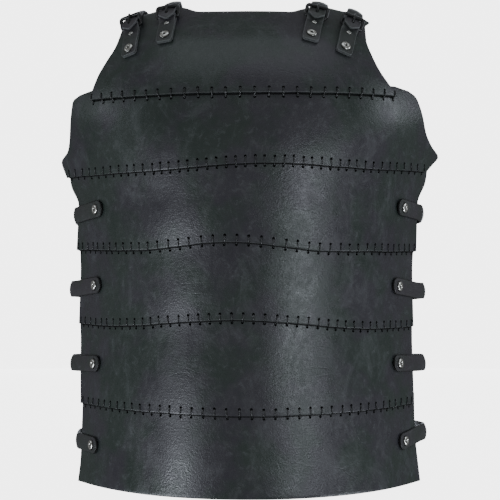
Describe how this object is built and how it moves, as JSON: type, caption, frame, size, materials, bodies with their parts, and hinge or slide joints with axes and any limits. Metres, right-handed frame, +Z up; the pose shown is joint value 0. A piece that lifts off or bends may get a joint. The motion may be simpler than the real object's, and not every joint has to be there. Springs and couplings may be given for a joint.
{
  "type": "leather cuirass",
  "caption": "Leather body armour: a breastplate and a backplate of lapped, laced bands, joined at the sides and over the shoulders by riveted and buckled straps.",
  "frame": {"origin": "middle of the bounding box, on the ground under the hem", "axes": "+Z up, the breastplate faces -Y, the wearer's left side is towards +X"},
  "size_m": [0.4212, 0.2958, 0.5457],
  "materials": {
    "band_leather": "black, waxed, with a slate sheen",
    "strap_leather": "black",
    "blackened_steel": "black, worn",
    "rivet_nickel": "antique nickel"
  },
  "bodies": {
    "root": {"back_band_1": "band_leather", "back_band_2": "band_leather", "back_band_3": "band_leather", "back_band_4": "band_leather", "back_band_5": "band_leather", "back_band_6": "band_leather", "front_band_1": "band_leather", "front_band_2": "band_leather", "front_band_3": "band_leather", "front_band_4": "band_leather", "front_band_5": "band_leather", "front_band_6": "band_leather", "left_inner_buckle": "blackened_steel", "left_inner_shoulder_rivet": "rivet_nickel", "left_inner_shoulder_strap": "strap_leather", "left_inner_tab": "strap_leather", "left_inner_tab_rivet": "rivet_nickel", "left_inner_tab_upper_rivet": "rivet_nickel", "left_outer_buckle": "blackened_steel", "left_outer_shoulder_rivet": "rivet_nickel", "left_outer_shoulder_strap": "strap_leather", "left_outer_tab": "strap_leather", "left_outer_tab_rivet": "rivet_nickel", "left_outer_tab_upper_rivet": "rivet_nickel", "left_side_rivet_1": "rivet_nickel", "left_side_rivet_2": "rivet_nickel", "left_side_rivet_3": "rivet_nickel", "left_side_rivet_4": "rivet_nickel", "left_side_strap_1": "strap_leather", "left_side_strap_2": "strap_leather", "left_side_strap_3": "strap_leather", "left_side_strap_4": "strap_leather", "left_side_stud_1": "rivet_nickel", "left_side_stud_2": "rivet_nickel", "left_side_stud_3": "rivet_nickel", "left_side_stud_4": "rivet_nickel", "right_inner_buckle": "blackened_steel", "right_inner_shoulder_rivet": "rivet_nickel", "right_inner_shoulder_strap": "strap_leather", "right_inner_tab": "strap_leather", "right_inner_tab_rivet": "rivet_nickel", "right_inner_tab_upper_rivet": "rivet_nickel", "right_outer_buckle": "blackened_steel", "right_outer_shoulder_rivet": "rivet_nickel", "right_outer_shoulder_strap": "strap_leather", "right_outer_tab": "strap_leather", "right_outer_tab_rivet": "rivet_nickel", "right_outer_tab_upper_rivet": "rivet_nickel", "right_side_rivet_1": "rivet_nickel", "right_side_rivet_2": "rivet_nickel", "right_side_rivet_3": "rivet_nickel", "right_side_rivet_4": "rivet_nickel", "right_side_strap_1": "strap_leather", "right_side_strap_2": "strap_leather", "right_side_strap_3": "strap_leather", "right_side_strap_4": "strap_leather", "right_side_stud_1": "rivet_nickel", "right_side_stud_2": "rivet_nickel", "right_side_stud_3": "rivet_nickel", "right_side_stud_4": "rivet_nickel"}
  },
  "joints": []
}
